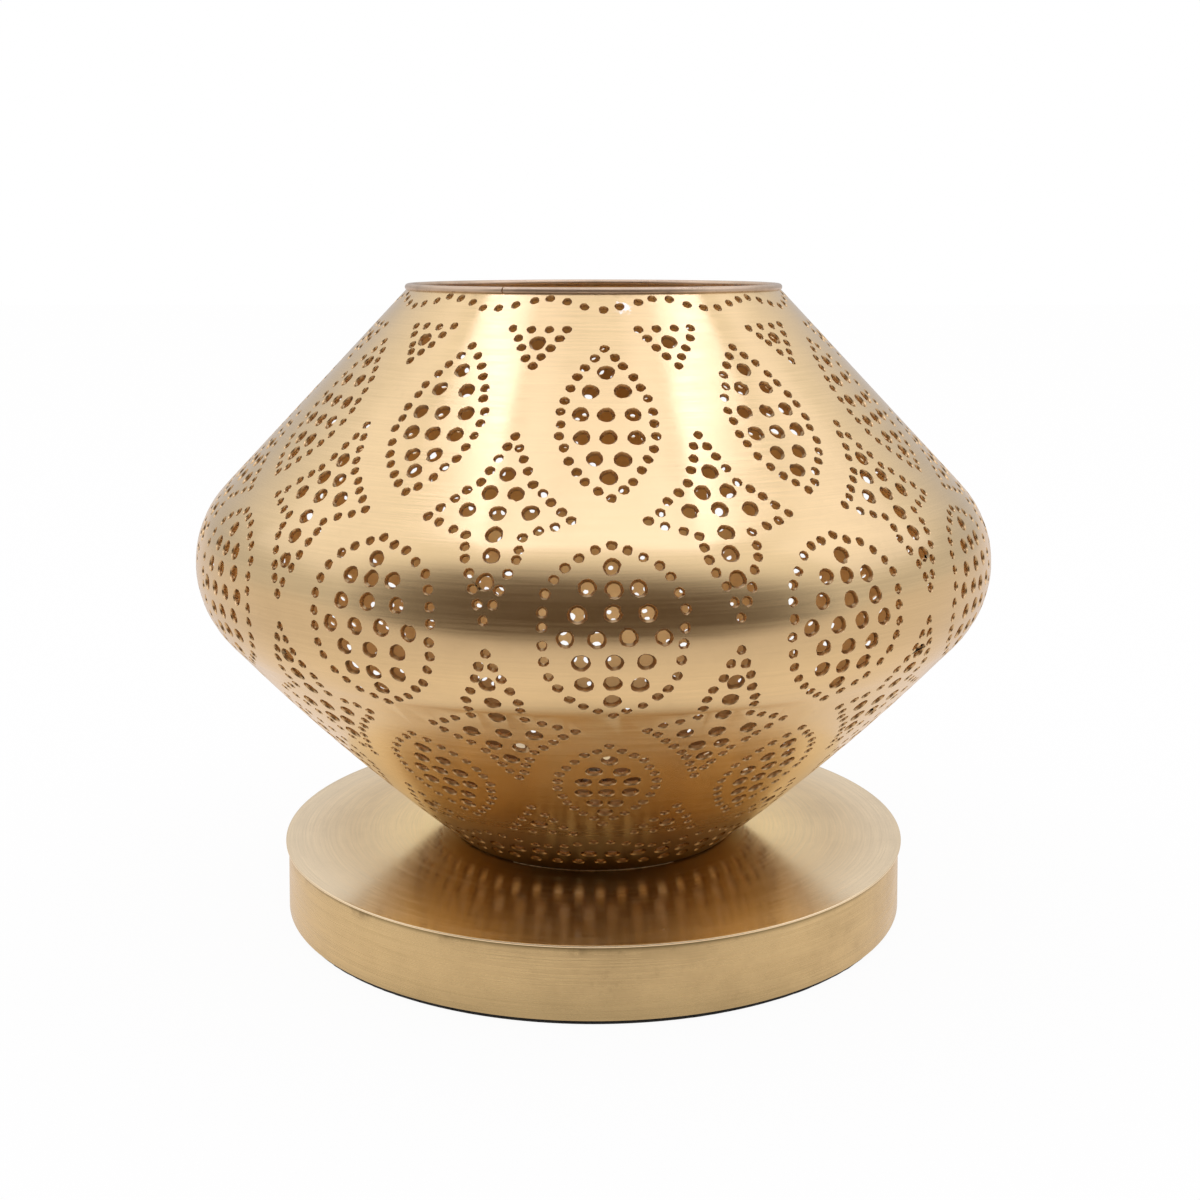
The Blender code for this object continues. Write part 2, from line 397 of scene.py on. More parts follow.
def rounded_corner(corner, before, after, radius, steps=4):
    """Points of an arc that rounds a profile corner between its two neighbours."""
    corner, before, after = Vector(corner), Vector(before), Vector(after)
    back, ahead = (before - corner).normalized(), (after - corner).normalized()
    half = back.angle(ahead) / 2
    centre = corner + (back + ahead).normalized() * radius / math.sin(half)
    first = corner + back * radius / math.tan(half) - centre
    last = corner + ahead * radius / math.tan(half) - centre
    return [tuple(centre + first.slerp(last, i / steps).normalized() * radius) for i in range(steps + 1)]


BRASS_STAIN = (0.20, 0.13, 0.06)
BAND_THICKNESS, BAND_RISE, BAND_ROUND = 0.0007, 0.0005, 0.00022
band_low, band_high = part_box("base_side_band")
band_outer, band_inner = band_high.x, band_high.x - BAND_THICKNESS
band_top = band_high.z + BAND_RISE
top_outer, low_outer = (band_outer, band_top), (band_outer, band_low.z)
top_inner, low_inner = (band_inner, band_top), (band_inner, band_low.z)
band_profile = rounded_corner(top_outer, top_inner, low_outer, BAND_ROUND)
band_profile += rounded_corner(low_outer, top_outer, low_inner, BAND_ROUND)
band_profile += [low_inner, top_inner]
band_mesh = turned_mesh("base_side_band", band_profile, steps=240, closed=True, slit=math.radians(0.12))
soften(band_mesh, 40)
band_finish = brushed_brass(
    "brushed_band", (0.71, 0.545, 0.285), BRASS_STAIN, roughness=0.28, cover=0.23, lines_shown=0.24,
    line_depth=0.000003, dent_depth=0.00015, seam=(band_top, 0.0030, 0.75),
    # Painted shade: the band's top edge is darkened where the disc's overhang shades it
    painted_rings=[(band_outer, band_top, 0.0011, (0.42, 0.42, 0.38))],
)
band = add_piece("base_side_band_strip", band_mesh, band_finish)
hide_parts("base_side_band")


# A run of solder closes the butted ends, filed nearly flush
def lofted_mesh(name, rows):
    """A closed mesh through its cross sections, each a row of points round it."""
    ribs = len(rows[0])
    faces = [tuple(range(ribs))[::-1], tuple(range((len(rows) - 1) * ribs, len(rows) * ribs))]
    for first in range(0, (len(rows) - 1) * ribs, ribs):
        for j in range(ribs):
            k = (j + 1) % ribs
            faces.append((first + j, first + k, first + ribs + k, first + ribs + j))
    return new_mesh(name, [spot for row in rows for spot in row], faces)


SEAM_MARGIN, SEAM_SUNK = 0.0004, 0.00003
SEAM_STEPS = 26
bead = random.Random(11)
seam_rows = []
for i in range(SEAM_STEPS + 1):
    height = band_low.z + SEAM_MARGIN + (band_top - band_low.z - 2 * SEAM_MARGIN) * i / SEAM_STEPS
    half_width = 0.0006 + bead.uniform(-0.00012, 0.00012)
    proud = (0.00010 + bead.uniform(0.0, 0.00005)) * (0.15 if i in (0, SEAM_STEPS) else 1.0)
    seam_rows.append([
        (half_width * math.cos(t), band_outer - SEAM_SUNK + proud * math.sin(t), height)
        for t in np.linspace(0, math.pi, 7)
    ])
seam_mesh = lofted_mesh("band_seam", seam_rows)
soften(seam_mesh, 60)

solder_finish, tree, shader, place = new_finish("dulled_solder")
cooled = noise(tree, place, scale=900.0, detail=4.0)
feed(tree, shader, {
    "Base Color": blend(tree, cooled, (0.20, 0.165, 0.12), (0.58, 0.53, 0.44)),
    "Roughness": remap(tree, cooled, 0.3, 0.7, 0.32, 0.55),
    "Metallic": 1.0,
    "Normal": bump(tree, cooled, 0.0001),
})
seam_bead = add_piece("band_seam", seam_mesh, solder_finish)


# Base top disc
# A flat disc cut from brass sheet, turned against abrasive so that fine rings show on it.
# It lies on band and board, stands a little proud of the band, and the shade is screwed through it.

BRASS_COLOUR = (0.80, 0.605, 0.33)
FOOT_RADIUS = 0.0316
disc_low, disc_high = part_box("base_top_disc")
disc_edge, disc_under = disc_high.x, disc_low.z + 0.00035
top_edge, under_edge = (disc_edge, disc_high.z), (disc_edge, disc_under)
top_middle, under_middle = (0.0, disc_high.z), (0.0, disc_under)
disc_profile = [top_middle, (disc_edge - 0.0006, disc_high.z)]
disc_profile += rounded_corner(top_edge, top_middle, under_edge, radius=0.00024, steps=6)
disc_profile += rounded_corner(under_edge, top_edge, under_middle, radius=0.00010, steps=3)
disc_profile.append(under_middle)
disc_mesh = turned_mesh("base_top_disc", disc_profile, steps=288)
soften(disc_mesh, 40)
disc_finish = brushed_brass(
    "brushed_disc", BRASS_COLOUR, BRASS_STAIN, roughness=0.21, cover=0.10, lines_shown=0.16,
    line_depth=0.000002, dent_depth=0.00003,
    # Painted light: the disc is lightened round the shade's foot, and its rim is lightened and whitened as a
    # painted highlight
    painted_rings=[(FOOT_RADIUS, disc_high.z, 0.026, (1.32, 1.30, 1.03)),
           (disc_edge, disc_high.z, 0.017, (1.17, 1.28, 1.55))],
)
disc = add_piece("base_top_disc_turned", disc_mesh, disc_finish)
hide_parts("base_top_disc")


# Shade
# Brass sheet spun over a former into two cones with a round belly and a flat floor.
# It is pierced by hand all over: small holes draw ovals, stars and triangles, larger ones fill them.

SHEET = 0.0007
MOUTH_RADIUS, MOUTH_RISE = 0.0421, 0.00058
BELLY_RADIUS, BELLY_ROUND, BELLY_RISE = 0.0887, 0.0227, 0.0637
LOWER_BULGE, FOOT_ROUND = 0.0012, 0.0006
shade_low, shade_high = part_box("shade")
foot_height = disc_high.z + 0.00003


def touching(start, centre, radius, side):
    """Where a straight line from start just touches a circle, passing it on the given side."""
    reach = centre - start
    turned = Matrix.Rotation(side * math.asin(radius / reach.length), 2) @ reach.normalized()
    return start + turned * math.sqrt(reach.length_squared - radius**2)


def shade_skin(cone_steps, belly_steps, lower_steps, foot_steps):
    """Outer skin from mouth to the middle of the floor: (radius, height) points and their normals."""
    mouth = Vector((MOUTH_RADIUS, shade_high.z + MOUTH_RISE))
    foot = Vector((FOOT_RADIUS, foot_height))
    centre = Vector((BELLY_RADIUS - BELLY_ROUND, shade_low.z + BELLY_RISE))
    top = touching(mouth, centre, BELLY_ROUND, 1)
    bottom = touching(foot, centre, BELLY_ROUND, -1)
    first = math.atan2(*(top - centre).yx)
    last = math.atan2(*(bottom - centre).yx)
    skin = [(mouth.lerp(top, i / cone_steps), (top - centre).normalized()) for i in range(cone_steps)]
    for i in range(belly_steps + 1):
        angle = first + (last - first) * i / belly_steps
        normal = Vector((math.cos(angle), math.sin(angle)))
        skin.append((centre + BELLY_ROUND * normal, normal))
    fall = foot - bottom
    outward = Vector((-fall.y, fall.x)).normalized()
    reach = 1 - FOOT_ROUND / fall.length
    for i in range(1, lower_steps + 1):
        share = reach * i / lower_steps
        slope = fall + outward * LOWER_BULGE * 4 * (1 - 2 * share)
        normal = Vector((-slope.y, slope.x)).normalized()
        skin.append((bottom + fall * share + outward * LOWER_BULGE * 4 * share * (1 - share), normal))
    edge, lean = skin[-1]
    heel = foot - Vector((FOOT_ROUND, 0.0))
    for i in range(1, foot_steps + 1):
        share = i / foot_steps
        spot = edge * (1 - share) ** 2 + foot * 2 * share * (1 - share) + heel * share**2
        skin.append((spot, lean.slerp(Vector((0.0, -1.0)), share)))
    skin.append((Vector((0.0, foot_height)), Vector((0.0, -1.0))))
    return skin


wall = shade_skin(60, 120, 120, 2)[:-3]
wall_depths = np.cumsum([0.0] + [(b[0] - a[0]).length for a, b in zip(wall, wall[1:])])
wall_columns = np.array([(*spot, *normal) for spot, normal in wall]).T


def read_wall(depth):
    """The radius, the height and the outward normal at a depth in millimetres down the wall."""
    radius, height, out, up = (np.interp(depth / 1000, wall_depths, column) for column in wall_columns)
    return radius, height, Vector((out, up)).normalized()


def spaced(path, gap):
    """Points along a path of (degrees, millimetres down) corners, about gap apart, with both ends."""
    lengths = [0.0]
    for (a0, d0), (a1, d1) in zip(path, path[1:]):
        aside = math.radians(a1 - a0) * read_wall((d0 + d1) / 2)[0] * 1000
        lengths.append(lengths[-1] + math.hypot(aside, d1 - d0))
    count = max(1, round(lengths[-1] / gap))
    wanted = [lengths[-1] * i / count for i in range(count + 1)]
    return list(zip(*(np.interp(wanted, lengths, column) for column in zip(*path))))


def both_sides(half):
    """An outline from its right half, whose ends lie on the motif's middle line."""
    return half + [(-a, d) for a, d in half[1:-1]]


def oval(top, bottom, half_width, fullness=2.2, drop=1.0, gap=3.0):
    """A pointed leaf, or with more fullness and less drop an egg."""
    half = []
    for i in range(25):
        t = i / 24
        width = half_width * (1 - abs(2 * t**drop - 1) ** fullness)
        half.append((width, top + (bottom - top) * t))
    return both_sides(spaced(half, gap))


def star(corners):
    """An outline through its corners, each a (degrees, millimetres down) point on the right half."""
    half = []
    for a, b in zip(corners, corners[1:]):
        half = half[:-1] + spaced([a, b], 2.85)
    return both_sides(half)


def triangle(row, tip, half_width):
    top = [(half_width * (2 * i / 3 - 1), row) for i in range(4)]
    side = [(half_width * (1 - i / 4), row + (tip - row) * i / 4) for i in range(1, 4)]
    return top + side + [(-a, d) for a, d in side] + [(0.0, tip)]


def filled(*rows):
    """Fill holes in rows of (millimetres down, count, pitch in millimetres)."""
    spots = []
    for depth, count, pitch in rows:
        turn = math.degrees(pitch / 1000 / read_wall(depth)[0])
        spots += [((k - (count - 1) / 2) * turn, depth) for k in range(count)]
    return spots


def border(count, start, depth, wave):
    """A row of holes round the shade that rises and falls with the twelve columns."""
    turns = [(i + start) * 360 / count for i in range(count)]
    return [(turn, depth + wave * math.cos(math.radians(12 * turn))) for turn in turns]


OVALS, STARS = 0.0, 15.0
SMALL, MEDIUM, LARGE = 0.00073, 0.00100, 0.00126
motifs = [
    (STARS, SMALL, triangle(9.8, 19.2, 6.6)),
    (STARS, LARGE, filled((13.2, 1, 0))),
    (OVALS, SMALL, oval(14.6, 50.2, 8.0)),
    (OVALS, LARGE, filled((20.4, 1, 0), (25.4, 2, 6.1), (31.0, 3, 5.1), (36.2, 3, 5.1),
                          (41.2, 2, 5.3), (45.2, 1, 0))),
    (STARS, SMALL, star([(0, 36.0), (3.9, 47.0), (10.0, 55.0), (3.7, 58.6), (3.3, 63.5), (0, 74.4)])),
    (STARS, LARGE, filled((44.6, 1, 0), (49.2, 2, 5.0), (53.4, 3, 6.0), (58.2, 1, 0),
                          (62.6, 1, 0), (67.6, 1, 0))),
    (OVALS, SMALL, oval(60.2, 94.8, 8.3, fullness=3.2, drop=0.9, gap=3.15)),
    (OVALS, LARGE, filled((64.4, 1, 0), (68.4, 3, 4.8), (72.8, 3, 6.4), (77.2, 4, 5.8),
                          (81.6, 3, 5.8), (86.2, 3, 5.1), (90.4, 1, 0))),
    (STARS, SMALL, star([(0, 80.4), (3.3, 91.0), (3.7, 96.4), (10.0, 100.2), (3.9, 108.6), (0, 118.6)])),
    (STARS, LARGE, filled((87.0, 1, 0), (91.6, 1, 0), (96.4, 1, 0), (102.0, 3, 6.0),
                          (106.6, 2, 4.8), (111.2, 1, 0))),
    (OVALS, SMALL, oval(105.6, 138.0, 8.6)),
    (OVALS, LARGE, filled((111.0, 1, 0), (115.2, 2, 5.0), (119.6, 3, 4.7), (124.0, 3, 4.6),
                          (128.6, 2, 4.4), (133.0, 1, 0))),
    (STARS, SMALL, triangle(143.2, 131.6, 7.4)),
    (STARS, LARGE, filled((139.4, 1, 0))),
]
borders = [
    (SMALL, border(78, 0.0, 3.0, 1.4)),
    (SMALL, border(84, 0.5, 149.2, -1.6)),
    (LARGE, border(48, 0.5, 154.2, 0.0)),
    (MEDIUM, border(48, 0.0, 158.6, 0.0)),
]
holes = [(degrees, depth, size) for size, spots in borders for degrees, depth in spots]

# Each column was marked out by eye, and least carefully at the back
ASTRAY_ASIDE, ASTRAY_DOWN = 1.1, 0.9
marking = random.Random(10)
for repeat in range(12):
    for column in (OVALS, STARS):
        middle = column + 30 * repeat
        care = 0.12 + 0.44 * (1 - math.cos(math.radians(middle)))
        middle += care * marking.uniform(-ASTRAY_ASIDE, ASTRAY_ASIDE)
        drop = care * marking.uniform(-ASTRAY_DOWN, ASTRAY_DOWN)
        for where, size, spots in motifs:
            if where == column:
                holes += [(middle + aside, depth + drop, size) for aside, depth in spots]

# The hole marks: a point on the skin for each, with its drill's radius and direction
SCREW_NODES = ("floor_screw_1", "floor_screw_2", "floor_screw_3")
SCREW_HOLE = 0.0020
PATTERN_TURN = 2.3
punch = random.Random(21)
marks = []
for degrees, depth, size in holes:
    radius, height, normal = read_wall(depth + punch.gauss(0, 0.16))
    angle = math.radians(degrees + PATTERN_TURN - 90) + punch.gauss(0, 0.00016) / radius
    around = Vector((math.cos(angle), math.sin(angle)))
    marks.append(((*(radius * around), height), (*(normal.x * around), normal.y), size))
for low, high in map(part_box, SCREW_NODES):
    marks.append(((*((low + high) / 2).xy, foot_height), (0.0, 0.0, -1.0), SCREW_HOLE))
mark_spots, mark_axes, mark_sizes = (np.array(column) for column in zip(*marks))
mark_mesh = new_mesh("hole_marks", mark_spots.tolist())
axes = mark_mesh.attributes.new("hole_axis", "FLOAT_VECTOR", "POINT")
axes.data.foreach_set("vector", mark_axes.ravel())
sizes = mark_mesh.attributes.new("hole_radius", "FLOAT", "POINT")
sizes.data.foreach_set("value", mark_sizes)


def drill_points(name, count, sides, flare, seed):
    """Drills of radius 1 at the sheet's inner skin, flared and out of round, some with a torn tooth."""
    hand = random.Random(seed)
    group = bpy.data.collections.new(name)
    for i in range(count):
        lobes, phase = hand.uniform(0.01, 0.045), hand.uniform(0, 6.28)
        around = []
        for j in range(sides):
            angle = 2 * math.pi * (j + hand.uniform(-0.16, 0.16)) / sides
            around.append((angle, 1 + lobes * math.cos(3 * angle + phase) + hand.uniform(-0.035, 0.035)))
        if i % 4 == 1:
            angle, reach = around[0]
            around[0] = (angle, reach - hand.uniform(0.10, 0.20))
        rows = []
        for level in (-2.2 * SHEET, 0.9 * SHEET):
            spread = 1 + flare * (level + SHEET) / SHEET
            rows.append([(r * spread * math.cos(a), r * spread * math.sin(a), level) for a, r in around])
        drill = f"{name}_{i}"
        group.objects.link(bpy.data.objects.new(drill, lofted_mesh(drill, rows)))
    return group


small_drills = drill_points("small_drills", count=8, sides=9, flare=0.46, seed=31)
large_drills = drill_points("large_drills", count=8, sides=13, flare=0.40, seed=32)


def new_tree(name, inputs, output):
    """A Geometry Nodes tree, its inputs' identifiers by title, and its given values."""
    tree = bpy.data.node_groups.new(name, "GeometryNodeTree")
    titles = {}
    for title, kind in inputs.items():
        socket = tree.interface.new_socket(title, in_out="INPUT", socket_type="NodeSocket" + kind)
        titles[title] = socket.identifier
    tree.interface.new_socket(output, in_out="OUTPUT", socket_type="NodeSocketGeometry")
    return tree, titles, add_node(tree, "NodeGroupInput").outputs


def end_tree(tree, geometry, finish):
    """The tree's end, with all instances made real and the finish set."""
    plain = add_node(tree, "GeometryNodeRealizeInstances", {0: geometry}).outputs[0]
    painted = add_node(tree, "GeometryNodeSetMaterial", {"Geometry": plain, "Material": finish})
    add_node(tree, "NodeGroupOutput", {0: painted.outputs[0]})


def plain_mesh(thing):
    """The mesh that an object's modifiers make."""
    return bpy.data.meshes.new_from_object(thing.evaluated_get(bpy.context.evaluated_depsgraph_get()))


def grown_mesh(thing, tree, titles, values):
    """The plain mesh that a tree makes from an object."""
    growth = thing.modifiers.new(tree.name, "NODES")
    growth.node_group = tree
    for title, value in values.items():
        growth[titles[title]] = value
    mesh = plain_mesh(thing)
    thing.modifiers.remove(growth)
    return mesh


# The piercing tree sets a drill on every mark and cuts the sheet with them all
piercing, piercing_titles, given = new_tree("pierced_sheet", {
    "Sheet": "Geometry", "Hole Marks": "Object", "Small Drills": "Collection", "Large Drills": "Collection",
    "Largest Small Radius": "Float", "Size Scatter": "Float", "Seed": "Int", "Finish": "Material",
}, "Pierced Sheet")


def scattered(low, high, offset):
    """A random number for each mark, from the tree's seed."""
    seed = add_node(piercing, "FunctionNodeIntegerMath", {0: given["Seed"], 1: offset}, operation="ADD")
    values = {2: low, 3: high, "Seed": seed.outputs[0]}
    return add_node(piercing, "FunctionNodeRandomValue", values, data_type="FLOAT").outputs[1]


spots = add_node(piercing, "GeometryNodeObjectInfo", {"Object": given["Hole Marks"]}).outputs["Geometry"]
named = "GeometryNodeInputNamedAttribute"
axis = add_node(piercing, named, {"Name": "hole_axis"}, data_type="FLOAT_VECTOR").outputs[0]
bore = add_node(piercing, named, {"Name": "hole_radius"}, data_type="FLOAT").outputs[0]
square_on = add_node(piercing, "FunctionNodeAlignRotationToVector", {"Vector": axis}, axis="Z")
twist = add_node(piercing, "FunctionNodeAxisAngleToRotation", {"Angle": scattered(0.0, 2 * math.pi, 1)})
turned_drill = add_node(piercing, "FunctionNodeRotateRotation", {
    "Rotation": square_on.outputs[0], "Rotate By": twist.outputs[0],
}, rotation_space="LOCAL")
widths = add_node(piercing, "ShaderNodeCombineXYZ", {"Z": 1.0})
for side, offset in (("X", 2), ("Y", 3)):
    uneven = calculate(piercing, "MULTIPLY_ADD", scattered(-1.0, 1.0, offset), given["Size Scatter"], 1.0)
    feed(piercing, widths, {side: calculate(piercing, "MULTIPLY", bore, uneven)})
is_small = add_node(piercing, "FunctionNodeCompare", {0: bore, 1: given["Largest Small Radius"]},
                    data_type="FLOAT", operation="LESS_EQUAL")
is_large = add_node(piercing, "FunctionNodeBooleanMath", {0: is_small.outputs[0]}, operation="NOT")
all_drills = add_node(piercing, "GeometryNodeJoinGeometry")
for title, chosen, offset, drills in (
    ("Small Drills", is_small, 4, small_drills), ("Large Drills", is_large, 5, large_drills),
):
    shelf = add_node(piercing, "GeometryNodeCollectionInfo", {
        "Collection": given[title], "Separate Children": True, "Reset Children": True,
    })
    which = add_node(piercing, "FunctionNodeFloatToInt", {
        0: scattered(0.0, len(drills.objects) - 0.001, offset),
    }, rounding_mode="FLOOR")
    pick = add_node(piercing, "GeometryNodeInstanceOnPoints", {
        "Points": spots, "Selection": chosen.outputs[0], "Instance": shelf.outputs[0],
        "Pick Instance": True, "Instance Index": which.outputs[0],
        "Rotation": turned_drill.outputs[0], "Scale": widths.outputs[0],
    })
    feed(piercing, all_drills, {0: pick.outputs[0]})
solid_drills = add_node(piercing, "GeometryNodeRealizeInstances", {0: all_drills.outputs[0]})
cut = add_node(piercing, "GeometryNodeMeshBoolean", operation="DIFFERENCE", solver="MANIFOLD")
feed(piercing, cut, {"Mesh 1": given["Sheet"], "Mesh 2": solid_drills.outputs[0]})
end_tree(piercing, cut.outputs["Mesh"], given["Finish"])

shade_finish = brushed_brass(
    "brushed_shade", BRASS_COLOUR, BRASS_STAIN, roughness=0.20, cover=0.08, lines_shown=0.10,
    line_depth=0.000001, dent_depth=0.00013, seam=(shade_high.z, 0.0011, 0.4),
    # Painted shade: the shade is darkened towards its foot, under the belly
    painted_rings=[(FOOT_RADIUS, disc_high.z, 0.033, (0.25, 0.165, 0.06))], dulled=0.24,
    splash=((0.0056, -0.0444, 0.1364), 0.0022),
)
inner_finish = brushed_brass(
    # The inside is raw spun brass, its colour kept lighter than the outside's as painted light inside the
    # shade
    "spun_inside", (0.98, 0.68, 0.28), (0.28, 0.17, 0.07), roughness=0.38, cover=0.14, lines_shown=0.10,
    line_depth=0.000003, dent_depth=0.00010, metal=0.6,
    # Painted shade: the inside is darkened towards the floor and round the upper cone
    painted_rings=[(FOOT_RADIUS, disc_high.z, 0.052, (0.22, 0.13, 0.06)), (0.065, 0.112, 0.030, (0.70, 0.60, 0.48))],
)
edge_finish = brushed_brass(
    "cut_edges", (0.72, 0.51, 0.27), (0.18, 0.12, 0.05), roughness=0.28, cover=0.30, lines_shown=0.10,
    line_depth=0.000002, dent_depth=0.00003,
    # Painted shade: the walls of the holes are darkened towards the foot
    painted_rings=[(FOOT_RADIUS, disc_high.z, 0.055, (0.60, 0.46, 0.28))],
)

skin = shade_skin(1, 20, 9, 4)
outside = [tuple(spot) for spot, normal in skin]
inside = [tuple(spot - SHEET * normal) for spot, normal in skin]
sheet = new_object("sheet", turned_mesh("shade", inside[::-1] + outside, steps=96))
mark_object = new_object("hole_marks", mark_mesh)
shade_mesh = grown_mesh(sheet, piercing, piercing_titles, {
    "Hole Marks": mark_object, "Small Drills": small_drills, "Large Drills": large_drills,
    "Largest Small Radius": 0.0009, "Size Scatter": 0.06, "Seed": 5, "Finish": shade_finish,
})
for spare in (sheet, mark_object, *small_drills.objects, *large_drills.objects):
    bpy.data.objects.remove(spare)


# Shading follows the former's true curve on both skins, and rolls over the edge of every hole
def read_values(items, name, width=1, kind=np.float32):
    values = np.empty(len(items) * width, dtype=kind)
    items.foreach_get(name, values)
    return values.reshape(-1, width) if width > 1 else values


def unit(vectors):
    return vectors / np.maximum(np.linalg.norm(vectors, axis=1, keepdims=True), 1e-9)


true_skin = shade_skin(60, 160, 120, 24)
true_spots = np.array([tuple(spot) for spot, normal in true_skin])
true_normals = np.array([tuple(normal) for spot, normal in true_skin])


def on_skin(points):
    """The outward normal of the outer skin next to each point, and how deep below it the point lies."""
    radius = np.hypot(points[:, 0], points[:, 1])
    flat = np.column_stack((radius, points[:, 2]))
    nearest = np.concatenate([
        ((part[:, None, :] - true_spots[None]) ** 2).sum(axis=2).argmin(axis=1)
        for part in np.array_split(flat, 60)
    ])
    normal = true_normals[nearest]
    floor = radius < true_spots[-2, 0]
    normal[floor] = (0.0, -1.0)
    on_floor = np.column_stack((radius, np.full(len(radius), foot_height)))
    start = np.where(floor[:, None], on_floor, true_spots[nearest])
    depth = -((flat - start) * normal).sum(axis=1)
    around = points[:, :2] / np.maximum(radius, 1e-9)[:, None]
    return np.column_stack((normal[:, :1] * around, normal[:, 1:])), depth


OUTER_ROLL, INNER_ROLL = 0.62, -0.2
corner_spots = read_values(shade_mesh.vertices, "co", 3)
corner_normals, corner_depths = on_skin(corner_spots)
face_middles = read_values(shade_mesh.polygons, "center", 3)
face_normals = read_values(shade_mesh.polygons, "normal", 3)
loops = read_values(shade_mesh.loops, "vertex_index", kind=np.int32)
sides = read_values(shade_mesh.polygons, "loop_total", kind=np.int32)
face_of = np.repeat(np.arange(len(sides)), sides)
first_loops = np.cumsum(sides) - sides
is_outer = np.maximum.reduceat(corner_depths[loops], first_loops) < SHEET / 3
is_inner = np.minimum.reduceat(corner_depths[loops], first_loops) > SHEET * 2 / 3
is_mouth = ~is_outer & ~is_inner & (face_middles[:, 2] > shade_high.z - 0.0006)
is_edge = ~(is_outer | is_inner | is_mouth)
shading = np.where(is_inner[face_of, None], -corner_normals[loops], corner_normals[loops])
shading[is_mouth[face_of]] = face_normals[face_of][is_mouth[face_of]]
mark_tree = KDTree(len(marks))
for i, spot in enumerate(mark_spots):
    mark_tree.insert(spot, i)
mark_tree.balance()
mark_of = np.zeros(len(sides), dtype=np.int32)
for i in np.flatnonzero(is_edge):
    mark_of[i] = mark_tree.find(face_middles[i])[1]
edge_loops = np.flatnonzero(is_edge[face_of])
edge_corners = loops[edge_loops]
edge_axes = mark_axes[mark_of[face_of[edge_loops]]]
inwards = mark_spots[mark_of[face_of[edge_loops]]] - corner_spots[edge_corners]
inwards = unit(inwards - edge_axes * (inwards * edge_axes).sum(axis=1, keepdims=True))
roll = np.where(corner_depths[edge_corners] < SHEET / 2, OUTER_ROLL, INNER_ROLL)
shading[edge_loops] = unit(inwards + roll[:, None] * edge_axes)
shade_mesh.shade_smooth()
shade_mesh.normals_split_custom_set(unit(shading).tolist())
shade = add_piece("shade_pierced", shade_mesh, shade_finish, inner_finish, edge_finish)
finish_of = np.select([is_inner, is_edge | is_mouth], [1, 2], 0).astype(np.int32)
shade_mesh.polygons.foreach_set("material_index", finish_of)
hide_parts("shade")

# A short run of solder tacks the foot to the disc at the front; its bright colour is a painted highlight
TACK_HALF, TACK_SIZE = math.radians(33), 0.00019
TACK_OUT, TACK_UP = 0.00012, 0.00002
rubbing = random.Random(13)
tack_rows = []
for share in np.linspace(1.0, -1.0, 73):
    turn = TACK_HALF * share
    size = TACK_SIZE * math.sqrt(1.02 - abs(share)) * rubbing.uniform(0.45, 1.15)
    row = []
    for t in np.linspace(0, math.pi, 6):
        reach = FOOT_RADIUS + TACK_OUT + size * math.cos(t)
        height = disc_high.z + TACK_UP + size * math.sin(t)
        row.append((reach * math.sin(turn), -reach * math.cos(turn), height))
    tack_rows.append(row)
tack_mesh = lofted_mesh("foot_solder", tack_rows)
soften(tack_mesh, 60)
tack_highlight_finish = brushed_brass(
    "solder_painted_highlight", (0.86, 0.62, 0.35), BRASS_STAIN, roughness=0.32, cover=0.30, lines_shown=0.10,
    line_depth=0.000002, dent_depth=0.00005,
)
tack = add_piece("foot_solder", tack_mesh, tack_highlight_finish)


# Floor screws
# Three zinc-plated pan-head screws with cross recesses, driven through the shade's floor into the board.
# They stand in a ring just wider than a tealight, which keeps it in the middle.

SHANK, ROOT, PITCH = 0.00172, 0.00130, 0.0012
NECK, POINT = 0.0010, 0.0032
screw_low, screw_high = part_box("floor_screw_1")
head_radius = (screw_high.x - screw_low.x) / 2
head_seat = foot_height + SHEET
head_height = screw_high.z - head_seat
thread_top, thread_foot = -0.0012, screw_low.z + POINT - head_seat
screw_profile = [(0.0, head_height)]
screw_profile += [
    (head_radius * math.sin(t), head_height * (0.28 + 0.72 * math.cos(t))) for t in np.linspace(0.15, 1.45, 9)
]
screw_profile += [(head_radius, head_height * 0.22), (head_radius * 0.98, 0.0), (SHANK, 0.0), (SHANK, -NECK)]
for i in range(int((thread_top - thread_foot) / PITCH)):
    start = thread_top - i * PITCH
    screw_profile += [(ROOT, start), (ROOT, start - PITCH * 0.5), (SHANK, start - PITCH * 0.75)]
screw_profile.append((0.0, screw_low.z - head_seat))
screw_blank = new_object("screw_blank", turned_mesh("screw", screw_profile, steps=36))
long, short = head_radius * 0.52, head_radius * 0.13
arm = [(long, short), (short, short), (short, long)]
cross = []
for quarter in range(4):
    cross += arm
    arm = [(-y, x) for x, y in arm]
recess = new_object("recess", lofted_mesh("recess", [
    [(x * taper, y * taper, head_height * level) for x, y in cross]
    for level, taper in ((0.18, 0.45), (1.3, 1.12))
]))
drive = screw_blank.modifiers.new("recess", "BOOLEAN")
drive.object = recess
drive.solver = "EXACT"
screw_made = plain_mesh(screw_blank)
soften(screw_made, 35)
screw_blank.modifiers.remove(drive)
screw_blank.data = screw_made
bpy.data.objects.remove(recess)

zinc_finish, tree, shader, place = new_finish("zinc_plating")
bloom = noise(tree, place, scale=420.0, detail=5.0)
feed(tree, shader, {
    "Base Color": blend(tree, bloom, (0.46, 0.46, 0.45), (0.72, 0.72, 0.70)),
    "Roughness": remap(tree, bloom, 0.3, 0.7, 0.24, 0.45),
    "Metallic": 1.0,
})

